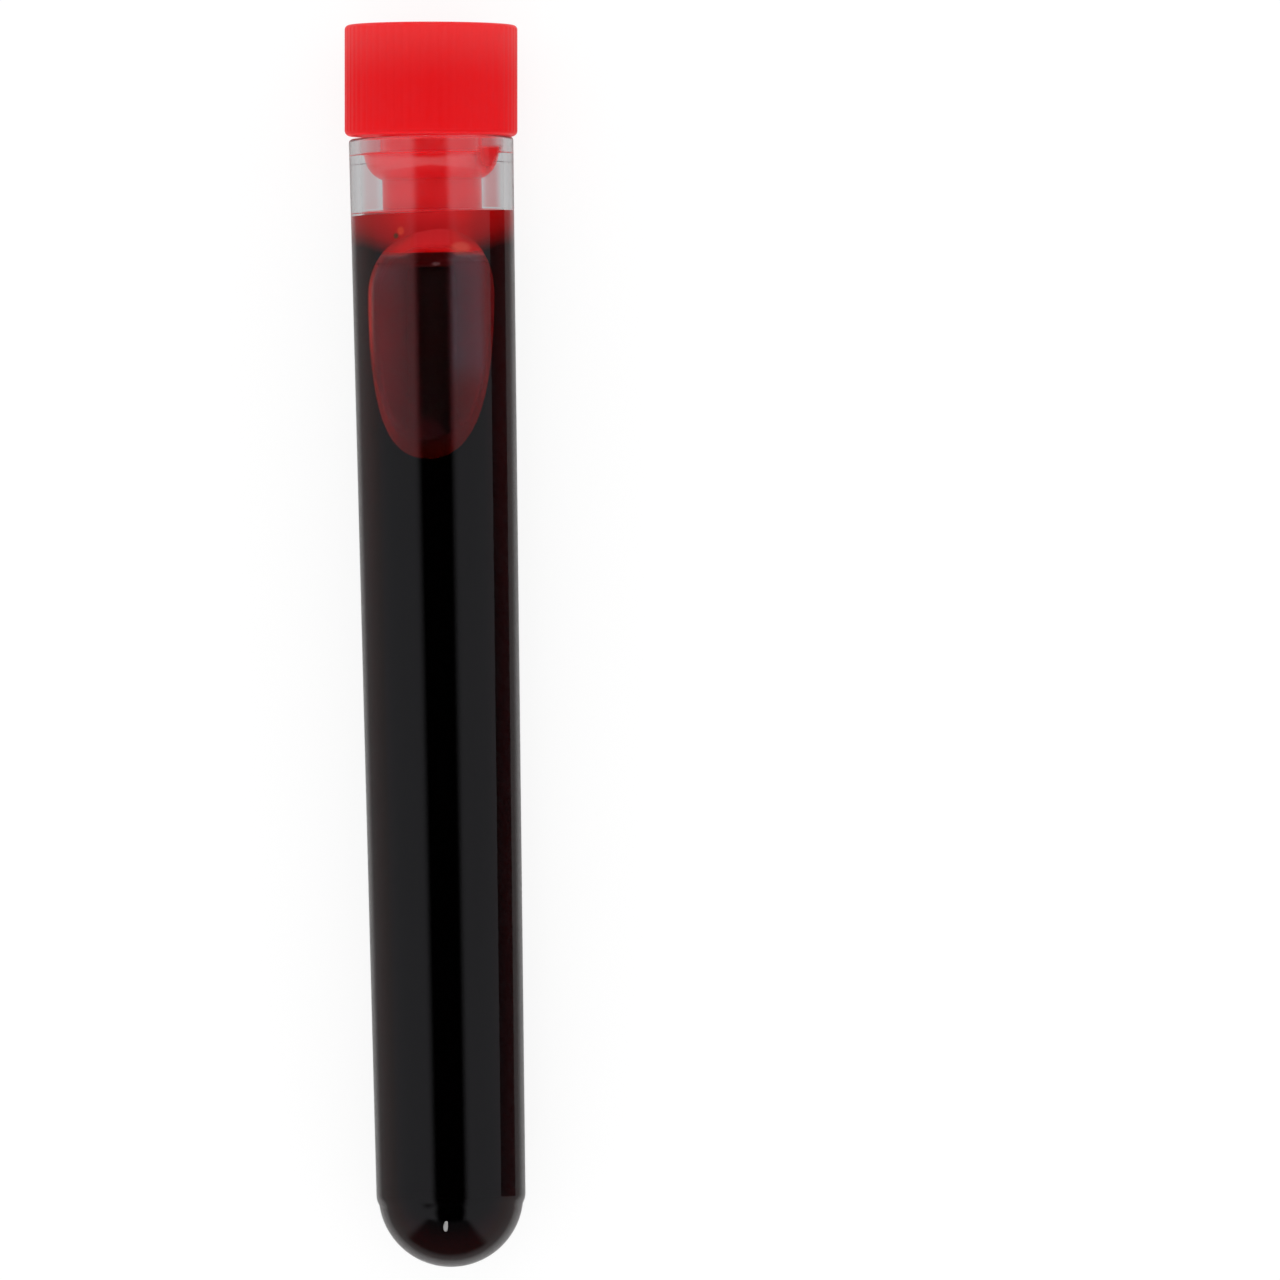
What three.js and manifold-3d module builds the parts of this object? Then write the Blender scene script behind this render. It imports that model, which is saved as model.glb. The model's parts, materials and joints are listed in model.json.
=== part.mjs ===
// Blood collection tube: a clear moulded tube with a round end, full of blood and closed by a push-in stopper.
//
// Millimetres, +Z up. The tube lies on its side along Y with the stopper towards +Y. It rests on the ribs of the
// stopper's head and on the seam above its round end, so its axis leans a little. The origin is on the ground,
// under the middle of the tube's box.
//
// Every piece is drawn in the tube's own frame first: Y is the tube's axis, the rim of the mouth is at y = 0, the
// head is above it and the rest of the tube below it.

import * as THREE from "three";
import { mergeVertices } from "three/addons/utils/BufferGeometryUtils.js";
import Module from "manifold-3d";

const wasm = await Module();
wasm.setup();

// Tube
const TUBE_LENGTH = 100;
const MOUTH_RADIUS = 7.28; // outside, at the rim
const DRAFT = 0.67; // what the radius loses from the rim down to the seam
const WALL = 0.9;
const SEAM_STEP = 0.19; // inward step from the straight wall to the round end
const SEAM_LENGTH = 0.6;
const RIM_ROUND = 0.35;

// Stopper's head
const HEAD_HEIGHT = 10;
const HEAD_GAP = 0.1; // the head's underside to the rim of the mouth
const HEAD_OVERHANG = 0.37; // how far the rib tips stand out past the rim of the mouth
const TOP_ROUND = 0.4;
const SKIRT_ROUND = 0.5; // the head's lower edge
const RIBS = 60; // even, so that a groove and its two ribs are underneath
const RIB_DEPTH = 0.08;

// Stopper's plug: a stem with two sealing lips, each a bowl that narrows towards the round end
const NECK_RADIUS = 4.5; // between the head and the upper lip
const STEM_RADIUS = 4.39;
const TIP_LENGTH = 1.45; // plain stem from the lower lip's bowl to the plug's flat end
const UPPER_LIP_DEPTH = 1.2; // from the rim of the mouth to the upper lip's sealing bead
const LIP_SPACING = 5.3;
const LIP_CLEARANCE = 0.06; // bead to bore
const BEAD_HEIGHT = 0.3;
const BOWL_INSET = 0.42; // bore to the top of the bowl under the bead
const BOWL_ROUND = 2.56;
const SHELF_RISE = 0.2; // the top of a lip slopes up towards the stem

// Blood and its air pocket
const BLOOD_GAP = 0.05; // blood to bore and to plug
const WEDGE = 0.5; // thinnest blood between the lower lip's bowl and the bore
const POCKET_DEPTH = 4; // from the top of the bore down to the level surface
const POCKET_LAP = 1.85; // how far the pocket reaches up beside the plug, past its flat end
const POCKET_LENGTH = 19.9;
const POCKET_NOSE = 10; // length of the pocket's rounded far end
const POCKET_SHOULDER = 3.5; // length of its rounded end at the plug

const RIGHT_ANGLE = Math.PI / 2;
const SAME_POINT = 1e-5; // points closer than this are one

// Facets. The tube, the plug and the blood share one set of sides, with a side and not an edge underneath.
const SIDES = RIBS;
const HALF_SIDE = Math.PI / SIDES;
const RIB_STATIONS = 3; // a groove and the two edges of a rib
const DOME_STEPS = 8;
const ROUND_STEPS = 3;
const BOWL_STEPS = 5;

// Sizes that follow from those above
const seamRadius = MOUTH_RADIUS - DRAFT;
const domeRadius = seamRadius - SEAM_STEP;
const domeCentre = domeRadius - TUBE_LENGTH;
const innerDomeRadius = domeRadius - WALL;
const seamHeight = domeCentre + SEAM_LENGTH;
const headRadius = MOUTH_RADIUS + HEAD_OVERHANG;
const skirtHeight = HEAD_GAP + SKIRT_ROUND;
const topHeight = HEAD_GAP + HEAD_HEIGHT;
const bowlCentre = bore(-UPPER_LIP_DEPTH) - BOWL_INSET - BOWL_ROUND;
const lowerLipDepth = UPPER_LIP_DEPTH + LIP_SPACING;
const plugDepth = lowerLipDepth - BOWL_ROUND * Math.sin(bowlEnd(0)) + TIP_LENGTH;

// Outside radius of the straight wall at height y
function outside(y) {
  return MOUTH_RADIUS + (DRAFT * y) / -seamHeight;
}

function bore(y) {
  return outside(y) - WALL;
}

function point(radius, y) {
  return new THREE.Vector2(radius, y);
}

// Points along a round stretch, with angles from +radius towards +Y
function arc(radius, y, round, from, to, steps) {
  return Array.from({ length: steps + 1 }, (_, i) => {
    const angle = from + ((to - from) * i) / steps;
    return point(radius + round * Math.cos(angle), y + round * Math.sin(angle));
  });
}

function turned(outline) {
  return new THREE.LatheGeometry(outline, SIDES, HALF_SIDE);
}

// A closed geometry as a solid that can be joined and cut, and back
function solid(geometry) {
  const bare = geometry.index ? geometry.toNonIndexed() : geometry.clone();
  bare.deleteAttribute("normal");
  bare.deleteAttribute("uv");
  const merged = mergeVertices(bare, SAME_POINT);
  const mesh = new wasm.Mesh({
    numProp: 3,
    vertProperties: Float32Array.from(merged.attributes.position.array),
    triVerts: Uint32Array.from(merged.index.array),
  });
  return new wasm.Manifold(mesh);
}

function geometryOf(manifold) {
  const { vertProperties, triVerts } = manifold.getMesh();
  const geometry = new THREE.BufferGeometry();
  geometry.setAttribute("position", new THREE.BufferAttribute(vertProperties, 3));
  geometry.setIndex(new THREE.BufferAttribute(triVerts, 1));
  geometry.computeVertexNormals();
  return geometry;
}

// Tube: round end, seam, tapered wall, rounded rim and the bore back down to the round end
function tubeGeometry() {
  return turned([
    ...arc(0, domeCentre, domeRadius, -RIGHT_ANGLE, 0, DOME_STEPS),
    point(seamRadius, seamHeight),
    ...arc(outside(-RIM_ROUND) - RIM_ROUND, -RIM_ROUND, RIM_ROUND, 0, RIGHT_ANGLE, ROUND_STEPS),
    point(bore(0), 0),
    point(bore(seamHeight), seamHeight),
    ...arc(0, domeCentre, innerDomeRadius, 0, -RIGHT_ANGLE, DOME_STEPS),
  ]);
}

// Head: a round cap with a ribbed side. The grooves run out where its edges are rounded.
function headGeometry() {
  const outline = [
    point(0, HEAD_GAP),
    ...arc(headRadius - SKIRT_ROUND, skirtHeight, SKIRT_ROUND, -RIGHT_ANGLE, 0, ROUND_STEPS),
    ...arc(headRadius - TOP_ROUND, topHeight - TOP_ROUND, TOP_ROUND, 0, RIGHT_ANGLE, ROUND_STEPS),
    point(0, topHeight),
  ];
  const head = new THREE.LatheGeometry(outline, RIBS * RIB_STATIONS);
  const position = head.attributes.position;
  const grooveRadius = headRadius - RIB_DEPTH;
  for (let i = 0; i < position.count; i += 1) {
    const station = Math.floor(i / outline.length);
    const radius = Math.hypot(position.getX(i), position.getZ(i));
    if (station % RIB_STATIONS === 0 && radius > grooveRadius) {
      const shrink = grooveRadius / radius;
      position.setX(i, position.getX(i) * shrink);
      position.setZ(i, position.getZ(i) * shrink);
    }
  }
  return head;
}

// Angle, along the round of a lip's bowl, at which the bowl and the stem meet when both are grown by a gap
function bowlEnd(gap) {
  return -Math.acos((STEM_RADIUS + gap - bowlCentre) / (BOWL_ROUND + gap));
}

// One lip from its bowl's lower end up to the stem above it
function lip(depth, stemAbove) {
  const bead = bore(-depth) - LIP_CLEARANCE;
  const half = BEAD_HEIGHT / 2;
  const bowlStart = -Math.asin(half / BOWL_ROUND);
  return [
    ...arc(bowlCentre, -depth, BOWL_ROUND, bowlEnd(0), bowlStart, BOWL_STEPS),
    point(bead, -depth - half),
    point(bead, -depth + half),
    point(stemAbove, -depth + half + SHELF_RISE),
  ];
}

function plugGeometry() {
  const rootInHead = HEAD_GAP + HEAD_HEIGHT / 2;
  return turned([
    point(0, -plugDepth),
    point(STEM_RADIUS, -plugDepth),
    ...lip(lowerLipDepth, STEM_RADIUS),
    ...lip(UPPER_LIP_DEPTH, NECK_RADIUS),
    point(NECK_RADIUS, rootInHead),
    point(0, rootInHead),
  ]);
}

function stopperGeometry() {
  return geometryOf(solid(headGeometry()).add(solid(plugGeometry())));
}

// Blood: fills the bore around the plug's end, from a thin wedge under the lower lip down to the round end
function fillGeometry() {
  const grown = BOWL_ROUND + BLOOD_GAP;
  const wedgeInner = bore(-lowerLipDepth) - BLOOD_GAP - WEDGE;
  const wedgeAngle = -Math.acos((wedgeInner - bowlCentre) / grown);
  const wedgeTop = grown * Math.sin(wedgeAngle) - lowerLipDepth;
  return turned([
    ...arc(0, domeCentre, innerDomeRadius - BLOOD_GAP, -RIGHT_ANGLE, 0, DOME_STEPS),
    point(bore(seamHeight) - BLOOD_GAP, seamHeight),
    point(bore(wedgeTop) - BLOOD_GAP, wedgeTop),
    ...arc(bowlCentre, -lowerLipDepth, grown, wedgeAngle, bowlEnd(BLOOD_GAP), BOWL_STEPS),
    point(STEM_RADIUS + BLOOD_GAP, -plugDepth - BLOOD_GAP),
    point(0, -plugDepth - BLOOD_GAP),
  ]);
}

// Air pocket: its outline seen from above, raised from the level surface to past the top of the bore
function pocketGeometry() {
  const nearEnd = POCKET_LAP - plugDepth;
  const halfWidth = bore(nearEnd);
  const outline = new THREE.Shape();
  outline.absellipse(0, POCKET_NOSE - POCKET_LENGTH, halfWidth, POCKET_NOSE, Math.PI, 2 * Math.PI);
  outline.absellipse(0, -POCKET_SHOULDER, halfWidth, POCKET_SHOULDER, 0, Math.PI);
  const pocket = new THREE.ExtrudeGeometry(outline, { depth: 2 * POCKET_DEPTH, bevelEnabled: false });
  pocket.rotateX(-lean);
  pocket.translate(0, nearEnd, bore(nearEnd) - POCKET_DEPTH);
  return pocket;
}

function bloodGeometry() {
  return geometryOf(solid(fillGeometry()).subtract(solid(pocketGeometry())));
}

// The lean: the ribs' edges at the head's skirt and the tube's lowest side at the seam both touch the ground
const ribEdge = (2 * Math.PI) / (RIBS * RIB_STATIONS);
const headDrop = headRadius * Math.cos(ribEdge);
const seamDrop = seamRadius * Math.cos(HALF_SIDE);
const lean = Math.atan2(headDrop - seamDrop, skirtHeight - seamHeight);

const clearPlastic = new THREE.MeshStandardMaterial({
  color: 0xe6ebf0,
  roughness: 0.05,
  metalness: 0,
  transparent: true,
  opacity: 0.3,
});
const redPlastic = new THREE.MeshStandardMaterial({ color: 0xe02026, roughness: 0.45, metalness: 0 });
const darkBlood = new THREE.MeshStandardMaterial({ color: 0x2a0508, roughness: 0.1, metalness: 0 });

function piece(name, geometry, material) {
  const mesh = new THREE.Mesh(geometry, material);
  mesh.name = name;
  return mesh;
}

const bloodTube = new THREE.Group();
bloodTube.add(
  piece("tube", tubeGeometry(), clearPlastic),
  piece("blood", bloodGeometry(), darkBlood),
  piece("stopper", stopperGeometry(), redPlastic),
);
bloodTube.rotation.x = lean;

// Set down on the ground, with the middle of its box over the origin
const box = new THREE.Box3().setFromObject(bloodTube, true);
const middle = box.getCenter(new THREE.Vector3());
bloodTube.position.set(0, -middle.y, -box.min.z);
bloodTube.updateMatrixWorld(true);

export default bloodTube;
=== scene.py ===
# %% [markdown]
# # Blood collection tube
# A clear plastic tube lies on a white table, full of dark blood and closed by a red push-in stopper. This
# script loads the packed model as a fixed frame, then makes the finished surfaces of its three pieces
# around it: the tube, the stopper and the blood. Each piece is drawn in millimetres in the tube's own frame
# and then put in its place.

# %% Load the frame
import json
import math

import bmesh
import bpy
from mathutils import Euler, Matrix, Vector


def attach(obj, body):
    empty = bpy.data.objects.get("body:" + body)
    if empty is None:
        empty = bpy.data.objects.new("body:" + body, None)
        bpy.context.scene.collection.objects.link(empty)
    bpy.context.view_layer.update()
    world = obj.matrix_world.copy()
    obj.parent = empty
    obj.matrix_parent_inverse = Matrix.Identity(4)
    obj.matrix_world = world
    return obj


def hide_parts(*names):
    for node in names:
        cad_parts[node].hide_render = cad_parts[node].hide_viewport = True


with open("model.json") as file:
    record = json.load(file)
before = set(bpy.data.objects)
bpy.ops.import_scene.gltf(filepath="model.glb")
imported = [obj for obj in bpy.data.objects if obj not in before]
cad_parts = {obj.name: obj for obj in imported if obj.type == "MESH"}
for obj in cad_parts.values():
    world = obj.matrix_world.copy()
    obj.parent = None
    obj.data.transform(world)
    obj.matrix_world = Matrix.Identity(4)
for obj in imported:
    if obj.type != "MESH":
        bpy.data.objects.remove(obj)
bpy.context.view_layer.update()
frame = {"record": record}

record = frame["record"]

# %% [markdown]
# ## The tube's own frame
# The tube leans a little as it lies, because its stopper is wider than its round end. Drawing on a leaning
# axis is awkward, so every piece is drawn on a straight one: Y runs along the tube, the rim of its mouth is
# at y = 0, the stopper's head is above it and the blood below it. The frame gives the lean by the direction
# in which the stopper slides, and the height of the rim by the middle of the head's top.

# %% Where the tube lies
MILLIMETRE = 0.001
HEAD_GAP = 0.1  # between the head's underside and the rim of the tube
HEAD_HEIGHT = 10.0

slide = Vector(record["behaviour"]["joints"][0]["axis"])
head_top = Vector(record["mounts"][0]["pos_m"])
mouth = head_top - slide * (HEAD_GAP + HEAD_HEIGHT) * MILLIMETRE
lean = math.atan2(slide.z, slide.y)
lie = Matrix.Translation(mouth) @ Matrix.Rotation(lean, 4, "X") @ Matrix.Scale(MILLIMETRE, 4)
print(f"the axis rises {math.degrees(lean):.2f} degrees, and the mouth is at {tuple(mouth)}")

# %% [markdown]
# ## Sizes
# These are the real sizes in millimetres that the pieces share. The tube tapers, as every moulded tube
# does, so that it comes off its core. Radii are functions of the height, so a piece that touches the wall
# asks for the radius where it is.

# %% Sizes that the pieces share
TUBE_LENGTH = 100.0
MOUTH_RADIUS = 7.28
DRAFT = 0.67  # what the radius loses from the rim to the seam
WALL = 0.9
SEAM_STEP = 0.19
SEAM_LENGTH = 0.6
RIM_ROUND = 0.35

seam_radius = MOUTH_RADIUS - DRAFT
dome_radius = seam_radius - SEAM_STEP
dome_centre = dome_radius - TUBE_LENGTH
inner_dome_radius = dome_radius - WALL
seam_height = dome_centre + SEAM_LENGTH


def outside(height):
    """Radius of the tube's outer wall."""
    return MOUTH_RADIUS + DRAFT * height / -seam_height


def bore(height):
    """Radius of the tube's inner wall."""
    return outside(height) - WALL


print(f"bore {2 * bore(0):.2f} mm at the mouth, {2 * bore(seam_height):.2f} mm at the seam")

# %% [markdown]
# ## Turning an outline
# The real pieces are round mouldings, so each is an outline of radius and height that is spun round the
# tube's axis. A screw modifier would do it too, but the bmesh spin leaves a plain closed mesh that can be
# shaped further. The doubles at the poles are merged, and the normals are turned outwards.

# %% Outlines and turned shapes
TURN_STEPS = 192
QUARTER = math.pi / 2
SAME_POINT = 1e-5


def arc(radius, height, size, start, end, steps):
    """Points at a distance of size from (radius, height), with angles from +radius towards +Y."""
    angles = [start + (end - start) * step / steps for step in range(steps + 1)]
    return [(radius + size * math.cos(angle), height + size * math.sin(angle)) for angle in angles]


def turned(outline, steps=TURN_STEPS):
    """A solid of revolution about the tube's axis."""
    shape = bmesh.new()
    corners = [shape.verts.new((radius, height, 0)) for radius, height in outline]
    lines = [shape.edges.new(pair) for pair in zip(corners, corners[1:])]
    bmesh.ops.spin(
        shape, geom=corners + lines, cent=(0, 0, 0), axis=(0, 1, 0), angle=2 * math.pi, steps=steps,
        use_merge=True,
    )
    bmesh.ops.remove_doubles(shape, verts=shape.verts, dist=SAME_POINT)
    bmesh.ops.recalc_face_normals(shape, faces=shape.faces)
    return shape


print(f"a turned wall's facets are {outside(0) * 2 * math.pi / TURN_STEPS:.2f} mm wide at the mouth")

# %% [markdown]
# ## Finishing a piece
# Every piece goes through the same last steps. Its faces are shaded smooth and its sharp folds stay crisp.
# One matrix lays it in its place in the frame, and then it is told which body it rides on. The place is in
# the mesh and the object stays at the origin, so that a pattern which reads the object's coordinates moves
# with the piece.

# %% Finishing a piece
SHARP = math.radians(15)  # folds sharper than this stay crisp


def as_object(shape, name):
    """A bmesh as an object of that name, in the collection."""
    mesh = bpy.data.meshes.new(name)
    shape.to_mesh(mesh)
    shape.free()
    thing = bpy.data.objects.new(name, mesh)
    bpy.context.scene.collection.objects.link(thing)
    return thing


def finished(shape, name, body, materials, replaces=()):
    """Shades a shape, puts it in its place in the frame and lets it ride on its body."""
    for face in shape.faces:
        face.smooth = True
    for edge in shape.edges:
        edge.smooth = len(edge.link_faces) == 2 and edge.calc_face_angle() < SHARP
    bmesh.ops.transform(shape, matrix=lie, verts=shape.verts)
    thing = as_object(shape, name)
    for material in materials:
        thing.data.materials.append(material)
    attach(thing, body)
    if replaces:
        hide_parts(*replaces)
    triangles = sum(len(face.vertices) - 2 for face in thing.data.polygons)
    print(f"{name}: {triangles} triangles")


print(f"folds of more than {math.degrees(SHARP):.0f} degrees stay crisp")

# %% [markdown]
# ## Shader maths as expressions
# A node tree is easier to read as sums. `Wire` wraps one output socket, and each of its operators adds a
# Math node, so that `1 - mask` or `red * depth` can be written as it is meant. Its ramp, `step`, takes two
# places and then the values at those places. In this script places are in millimetres and angles in
# radians.

# %% Wires
class Wire:
    """One output socket, which can be added, multiplied and so on."""

    def __init__(self, board, socket):
        self.board = board
        self.socket = socket

    def maths(self, operation, *values):
        return self.board.node("ShaderNodeMath", {"operation": operation}, dict(enumerate(values)))[0]

    def __add__(self, other):
        return self.maths("ADD", self, other)

    def __radd__(self, other):
        return self.maths("ADD", other, self)

    def __sub__(self, other):
        return self.maths("SUBTRACT", self, other)

    def __rsub__(self, other):
        return self.maths("SUBTRACT", other, self)

    def __mul__(self, other):
        return self.maths("MULTIPLY", self, other)

    def __rmul__(self, other):
        return self.maths("MULTIPLY", other, self)

    def __truediv__(self, other):
        return self.maths("DIVIDE", self, other)

    def __rtruediv__(self, other):
        return self.maths("DIVIDE", other, self)

    def __abs__(self):
        return self.maths("ABSOLUTE", self)

    def root(self):
        return self.maths("SQRT", self)

    def least(self, other):
        return self.maths("MINIMUM", self, other)

    def most(self, other):
        return self.maths("MAXIMUM", self, other)

    def angle(self, other):
        """Angle from the direction of other towards the direction of this value."""
        return self.maths("ARCTAN2", self, other)

    def step(self, start, end, low=0.0, high=1.0):
        """Runs smoothly from low to high as this value goes from start to end."""
        settings = {"interpolation_type": "SMOOTHSTEP"}
        values = {"Value": self, "From Min": start, "From Max": end, "To Min": low, "To Max": high}
        return self.board.node("ShaderNodeMapRange", settings, values)[0]


print("a wire's words:", [name for name in vars(Wire) if not name.startswith("_")])

# %% [markdown]
# `Board` is the node tree of a material or of the world. Its method `node` makes any node: first it sets
# the node, then it feeds its sockets with wires or plain values. The other methods are short words for what
# the finishes below need often.

# %% Boards
class Board:
    """The node tree of a material or of the world."""

    def __init__(self, owner):
        owner.use_nodes = True
        self.owner = owner
        self.tree = owner.node_tree
        self.tree.nodes.clear()

    def node(self, kind, settings=None, sockets=None):
        """Makes a node, sets it, then feeds its sockets. Returns its outputs as wires."""
        made = self.tree.nodes.new(kind)
        for name, value in (settings or {}).items():
            setattr(made, name, value)
        for name, value in (sockets or {}).items():
            if isinstance(value, Wire):
                self.tree.links.new(value.socket, made.inputs[name])
            else:
                made.inputs[name].default_value = value
        return [Wire(self, output) for output in made.outputs]

    def mix(self, factor, first, second):
        """One colour where factor is 0, the other where it is 1."""
        sockets = {0: factor, 6: first, 7: second}
        return self.node("ShaderNodeMix", {"data_type": "RGBA"}, sockets)[2]

    def colour(self, red, green, blue):
        """A colour from its three parts."""
        return self.node("ShaderNodeCombineColor", {}, {0: red, 1: green, 2: blue})[0]

    def clear(self, colour):
        """A shader that lets light straight through, in that colour."""
        return self.node("ShaderNodeBsdfTransparent", {}, {"Color": colour})[0]

    def plastic(self, sockets):
        """The principled shader, with those sockets fed."""
        return self.node("ShaderNodeBsdfPrincipled", {}, sockets)[0]

    def blend(self, factor, first, second):
        """One shader where factor is 0, the other where it is 1."""
        return self.node("ShaderNodeMixShader", {}, {0: factor, 1: first, 2: second})[0]

    def noise(self, place, scale, detail):
        """A cloudy pattern from 0 to 1."""
        return self.node("ShaderNodeTexNoise", {}, {"Vector": place, "Scale": scale, "Detail": detail})[0]

    def spot(self, place, middle, halves):
        """A soft oval spot: 1 in its middle and 0 outside."""
        first, second = ((wire - centre) / half for wire, centre, half in zip(place, middle, halves))
        return (first * first + second * second).root().step(1.0, 0.4)

    def places(self):
        """Places in the tube's own frame, in millimetres: across, along and up."""
        seen = self.node("ShaderNodeTexCoord")[3]
        turn = Euler((-lean, 0, 0))
        start = -(turn.to_matrix() @ mouth) / MILLIMETRE
        sockets = {"Vector": seen, "Location": start, "Rotation": turn, "Scale": [1 / MILLIMETRE] * 3}
        return self.node("ShaderNodeMapping", {}, sockets)[0]

    def split(self, vector):
        return self.node("ShaderNodeSeparateXYZ", {}, {0: vector})

    def rays(self):
        """Light Path's outputs by name."""
        outputs = self.node("ShaderNodeLightPath")
        return {wire.socket.name: wire for wire in outputs}

    def surface(self, shader):
        """Ends a material and returns it. Its glow is too faint to be worth treating as a lamp."""
        self.node("ShaderNodeOutputMaterial", {}, {"Surface": shader})
        self.owner.cycles.emission_sampling = "NONE"
        print(f"{self.owner.name}: {len(self.tree.nodes)} nodes")
        return self.owner


def new_board(name):
    """The empty board of a new material."""
    return Board(bpy.data.materials.new(name))


def grey(level):
    return (level, level, level, 1.0)


BLACK = grey(0.0)
WHITE = grey(1.0)
MATT = {"Roughness": 1.0, "Specular IOR Level": 0.0}
print("a board makes:", [name for name in vars(Board) if not name.startswith("_")])

# %% [markdown]
# ## Clear polystyrene
# The tube is crystal polystyrene. It bends light as glass does, a little more strongly than the usual 1.45,
# and that is what makes the blood fill the tube to its very edge when it is seen through the wall. The
# shader is a fully transmitting one with the real refractive index. It is polished all over but for the
# rim, which the mould leaves a little dull, so that it spreads the light it gets. A faint glow in the rim
# stands in for the red light that reaches it through the stopper.

# %% Clear polystyrene
POLYSTYRENE_INDEX = 1.59
POLYSTYRENE_COLOUR = (0.985, 0.99, 1.0, 1.0)
RIM_STARTS = -0.42
RIM_IS_DULL = -0.14
RIM_ROUGHNESS = 0.3
RIM_GLOW = (0.08, 0.016, 0.019, 1)


def clear_polystyrene():
    board = new_board("clear_polystyrene")
    _, along, _ = board.split(board.places())
    rim = along.step(RIM_STARTS, RIM_IS_DULL)
    return board.surface(board.plastic({
        "Base Color": POLYSTYRENE_COLOUR,
        "Roughness": rim * RIM_ROUGHNESS,
        "Emission Color": board.mix(rim, BLACK, RIM_GLOW),
        "Emission Strength": 1.0,
        "IOR": POLYSTYRENE_INDEX,
        "Transmission Weight": 1.0,
    }))


polystyrene = clear_polystyrene()

# %% [markdown]
# ## Red polyethylene
# The stopper is soft red polyethylene with a satin skin. Its red is strong and even, and it is varied by a
# mix with a paler red: in the fine mottling that the mould leaves, and as painted sheen, a little towards
# the head's top edge and in a bent highlight band where the upper bowl turns under.

# %% Paler places and painted sheen on the stopper
RED = (0.73, 0.010, 0.014, 1)
PALE_RED = (0.86, 0.52, 0.53, 1)
MOTTLING = 0.006
TOP_SHEEN = 0.060
SHEEN_BAND_MIDDLE = 0.20
SHEEN_BAND_SIDE = 0.11


def mottle_and_sheen(across, along, mottle):
    """How pale the red is, from 0 to 1: the mould's mottling, and painted sheen at the head's top edge and
    on the upper bowl.
    """
    aside = abs(across)
    # the band is a painted highlight where the upper bowl turns under, and the top edge gets a painted sheen
    sheen_band = (along - aside * 0.04).step(-1.80, -2.12) * (along + aside * 0.11).step(-2.72, -2.45)
    sheen_band = sheen_band * aside.step(1.0, 2.0, SHEEN_BAND_MIDDLE, SHEEN_BAND_SIDE)
    return along.step(4.5, 10.2, 0.0, TOP_SHEEN) + mottle * MOTTLING + sheen_band


print(f"the red goes from {RED[:3]} towards {PALE_RED[:3]}")

# %% [markdown]
# Light goes some way into this plastic. The shader scatters it under the surface, and where a part is thin,
# or white light reaches it from behind, a faint painted glow of the same red is added: in the stem and the
# bowls, more in the neck, and in the lower bead. In the neck and along the underside of the head this glow
# also lifts the shade. The head was pushed on a little crookedly, so its underside is found along a level
# that is askew too.

# %% Painted glow of the stopper's thin parts and underside
ASKEW = math.radians(1.07)
GLOW_RED = (0.34, 0.016, 0.020, 1)
STEM_GLOW = 0.13
BOWL_GLOW = 0.28
NECK_GLOW = 0.25
BEAD_GLOW = 0.34
BEAD_HEIGHT = -6.60
UNDERSIDE_GLOW = 0.5


def painted_glow(across, along, up):
    """How much painted glow the plastic gets, from 0 to 1."""
    seep = along.step(-4.15, -3.7, STEM_GLOW, BOWL_GLOW) + along.step(-1.7, -1.45, 0.0, NECK_GLOW)
    seep = seep + abs(along - BEAD_HEIGHT).step(0.16, 0.10, 0.0, BEAD_GLOW)
    from_axis = (across * across + up * up).root()
    inside_fins = from_axis.step(6.15, 6.0).most(abs(across).step(5.7, 5.0))
    seep = seep * along.step(0.15, 0.05) * inside_fins
    level = along + across * math.tan(ASKEW)
    # a painted glow that lifts the shade along the head's underside
    underside = level.step(0.40, 0.16, 0.0, UNDERSIDE_GLOW) * level.step(0.06, 0.12)
    return seep.most(underside)


print(f"the head is {math.degrees(ASKEW):.2f} degrees askew")

# %% [markdown]
# The two masks feed one shader. The plug is smoother than the head, so that it seals, and gets a satin
# coat.

# %% Red polyethylene
SATIN = 0.34  # roughness
SATIN_CHANGE = 0.08
PLUG_COAT = 0.85
GRAIN_DEPTH = 0.00005


def red_polyethylene():
    board = new_board("red_polyethylene")
    place = board.places()
    across, along, up = board.split(place)
    mottle = board.noise(place, 1.2, 4.0)
    grain = board.noise(place, 6.0, 3.0)
    bump = board.node("ShaderNodeBump", {}, {"Strength": 0.08, "Distance": GRAIN_DEPTH, "Height": grain})[0]
    return board.surface(board.plastic({
        "Base Color": board.mix(mottle_and_sheen(across, along, mottle), RED, PALE_RED),
        "Roughness": mottle * SATIN_CHANGE + SATIN,
        "IOR": 1.5,
        "Specular IOR Level": 0.1,
        "Coat Weight": along.step(0.3, 0.0, 0.0, PLUG_COAT),
        "Coat Roughness": SATIN,
        "Subsurface Weight": 1.0,
        "Subsurface Radius": (4.0, 0.3, 0.3),
        "Subsurface Scale": MILLIMETRE,
        "Emission Color": board.mix(painted_glow(across, along, up), BLACK, GLOW_RED),
        "Emission Strength": 1.0,
        "Normal": bump,
    }))


polyethylene = red_polyethylene()

# %% [markdown]
# ## Tube
# One injection moulding: a round end, a small step at the seam of the mould, a tapered wall and a rounded
# rim, then the bore back down to the round end. It is closed all round, so the light bends at each of its
# faces. The outline starts at the tip of the round end and goes up the outside first.

# %% Tube
DOME_STEPS = 40
ROUND_STEPS = 8
STEP_ROUND = 2.2  # the wall rounds over into the step at the seam
STEP_ANGLE = math.radians(14)
STEP_TOP = dome_centre + 0.1
EDGE_LENGTH = 0.45  # and runs on straight


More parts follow.
